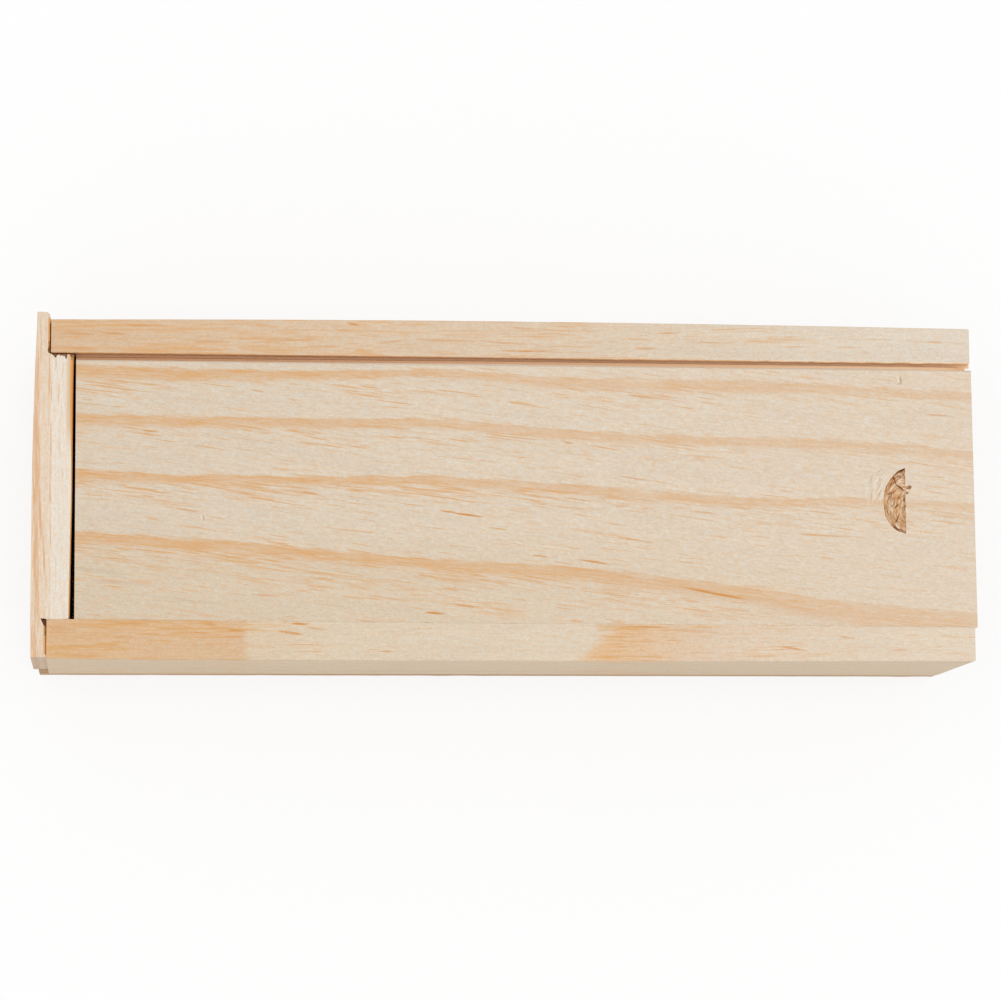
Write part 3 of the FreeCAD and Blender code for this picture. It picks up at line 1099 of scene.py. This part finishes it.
def end_edges(wood, colour):
    """A tan rim and a brown wane along the inner face, darkened lower down by painted shade, and
    raw wood in the joints and chips, darkened deeper in by painted shade.
    """
    slanted = wood.ease(wood.facing[Z], 0.98, 0.88)
    rim = wood.times(
        wood.ease(wood.x, 3.4, 4.3), wood.ease(wood.y, 7, 15),
        wood.ease(wood.z, BOX_TOP - 1, BOX_TOP - 0.5),
    )
    colour = wood.mix(wood.times(rim, 0.65), colour, srgb(216, 178, 134))
    wane = wood.times(
        wood.ease(wood.x, 3.7, 4.0), wood.ease(wood.z, BOX_TOP - 3.5, BOX_TOP - 1.5), slanted
    )
    # The wane's orange-brown, with painted shade making it darker down towards the gap beside the
    # lid
    brown = wood.ramp(
        wood.z,
        (BOX_TOP - 1.3, srgb(136, 70, 24)),
        (BOX_TOP - 0.6, srgb(206, 122, 50)),
        (BOX_TOP, srgb(238, 182, 114)),
    )
    colour = wood.mix(wane, colour, brown)
    joint = wood.times(
        wood.ease(wood.math("ABSOLUTE", wood.x), 0.9, 0.7), wood.ease(wood.y, 36.7, 36.3),
        wood.ease(wood.z, BOX_TOP - 1.5, BOX_TOP - 0.5), slanted,
    )
    colour = wood.mix(joint, colour, srgb(244, 184, 118))
    chipped = wood.times(
        wood.ease(wood.z, BOX_TOP - 0.08, BOX_TOP - 0.12), wood.ease(wood.x, -1.6, -1.5),
        wood.window(wood.math("ABSOLUTE", wood.y), 27.4, 27.5, 31.5, 31.7),
    )
    # Brown torn wood in the chips, with painted shade making it darker deeper down
    torn = wood.ramp(
        wood.z, (BOX_TOP - 2.5, srgb(140, 82, 42)), (BOX_TOP - 0.1, srgb(196, 142, 92))
    )
    return wood.mix(chipped, colour, torn)


def tall_end_material():
    """Cream in the middle part, with orange streaks along the lip."""
    wood = Wood("tall_end_pine")
    grain = Grain(wood, "Y", 29.0)
    tone = wood.mix(wood.ease(wood.x, -0.4, 1.2), srgb(232, 211, 187), srgb(235, 222, 205))
    colour = grain.texture(tone, 0.14, 0.3, 0.1, 0.7)
    lines = lip_lines(wood, grain)
    late = wood.times(grain.rings(4.2, 0.8, 33.0), grain.side, 0.45)
    cloud = wood.linear(grain.cloud, 2, -1.35)
    streaks = wood.plus(late, wood.times(grain.streaks(wood.plus(lines, cloud)), 0.95))
    colour = wood.mix(streaks, colour, srgb(220, 166, 114))
    colour = end_edges(wood, colour)
    relief = wood.plus(wood.times(grain.fibre, 0.8), wood.times(grain.mottle, 0.5))
    gloss = wood.linear(lines, -0.1, 0.66)
    return finish_wood(wood, grain, colour, relief, gloss)


# ---- scene


# Camera, in rail coordinates above the table, and its turn from straight down
CAMERA_PLACE = Vector((13.38, -103.32, 850.83))
CAMERA_TURN_DEG = (-7.16, 5.852, -0.391)
CAMERA_LENS = 136.66
CAMERA_SENSOR = 36.0
# The floor lies this much below the box, m, so that no two faces coincide. It throws this
# share of the light back on the box, and this share of what the camera sees is plain white
FLOOR_Z = -0.0003
FLOOR_LIGHT = 0.85
FLOOR_WHITE = 0.8
DOME_LIGHT = 0.87
WHITE = (1, 1, 1, 1)


def aim_camera():
    turn = [
        Matrix.Rotation(math.radians(angle), 3, axis)
        for angle, axis in zip(CAMERA_TURN_DEG, "XYZ")
    ]
    world_to_camera = turn[2] @ turn[1] @ turn[0]
    data = bpy.data.cameras.new("camera")
    data.lens = CAMERA_LENS
    data.sensor_width = CAMERA_SENSOR
    camera = bpy.data.objects.new("camera", data)
    camera.matrix_world = Matrix.Translation((CAMERA_PLACE - RAIL_ORIGIN) * MM) @ (
        world_to_camera.transposed().to_4x4()
    )
    bpy.context.scene.collection.objects.link(camera)
    bpy.context.scene.camera = camera


def make_stage():
    """White floor that keeps a soft shadow of the box."""
    bm = bmesh.new()
    bmesh.ops.create_grid(bm, x_segments=1, y_segments=1, size=3.0)
    floor = make_piece("floor", bm)
    floor.location.z = FLOOR_Z
    material = bpy.data.materials.new("floor_white")
    nodes = Nodes(material)
    lit = nodes.add("BsdfDiffuse", (FLOOR_LIGHT, FLOOR_LIGHT, FLOOR_LIGHT, 1))
    shaded = nodes.add("BsdfDiffuse", WHITE)
    plain = nodes.add("Emission", WHITE)
    seen = nodes.add("MixShader", FLOOR_WHITE, shaded.outputs[0], plain.outputs[0])
    camera_ray = nodes.add("LightPath").outputs["Is Camera Ray"]
    either = nodes.add("MixShader", camera_ray, lit.outputs[0], seen.outputs[0])
    nodes.add("OutputMaterial", either.outputs[0])
    floor.data.materials.append(material)


def add_lamp(name, place, size, power):
    data = bpy.data.lights.new(name, "AREA")
    data.shape = "DISK"
    data.size = size
    data.energy = power
    lamp = bpy.data.objects.new(name, data)
    lamp.location = place
    lamp.rotation_euler = (-Vector(place)).to_track_quat("-Z", "Y").to_euler()
    bpy.context.scene.collection.objects.link(lamp)


def light_scene():
    """A white dome that shows white to the camera, and a faint softbox from above."""
    world = bpy.data.worlds.new("studio")
    nodes = Nodes(world)
    camera_ray = nodes.add("LightPath").outputs["Is Camera Ray"]
    strength = nodes.add("MapRange", camera_ray, 0, 1, DOME_LIGHT, 1)
    background = nodes.add("Background", WHITE, strength.outputs[0])
    nodes.add("OutputWorld", background.outputs[0])
    bpy.context.scene.world = world
    add_lamp("softbox", (-0.25, -0.1, 1.5), 1.2, 3.0)


def dress(piece, node, body, material):
    piece.data.materials.clear()
    piece.data.materials.append(material)
    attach(piece, body)
    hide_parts(node)


bpy.context.scene.view_settings.view_transform = "Standard"
aim_camera()
make_stage()
light_scene()

PALE = ((0, srgb(222, 204, 179)), (200, srgb(224, 206, 182)))
BROWN = ((0, srgb(202, 166, 124)), (200, srgb(206, 172, 132)))
DARK_BROWN = srgb(168, 118, 72)

far_board = side_board("far_side", FAR_OUTER, FAR_INNER, 1)
near_board = side_board("near_side", NEAR_OUTER, NEAR_INNER, -1)
strip_pine = plain_material("strip_pine", "Y", 37.0, BROWN, 2.0, 0.5, DARK_BROWN)
low_end_pine = plain_material("low_end_pine", "Y", 43.0, PALE, 4.6, 0.9, LATE_WOOD)
bottom_pine = plain_material("bottom_pine", "X", 51.0, BROWN, 5.5, 0.3, DARK_BROWN)

dress(far_board, "far_side_board", "box", far_side_material())
dress(near_board, "near_side_board", "box", near_side_material())
dress(tall_end_board(), "tall_end_board", "box", tall_end_material())
dress(lower_end_strip(), "lower_end_strip", "box", strip_pine)
dress(low_end_board(), "low_end_board", "box", low_end_pine)
dress(bottom_panel(), "bottom_panel", "box", bottom_pine)
dress(lid_board(), "lid", "lid", lid_material())
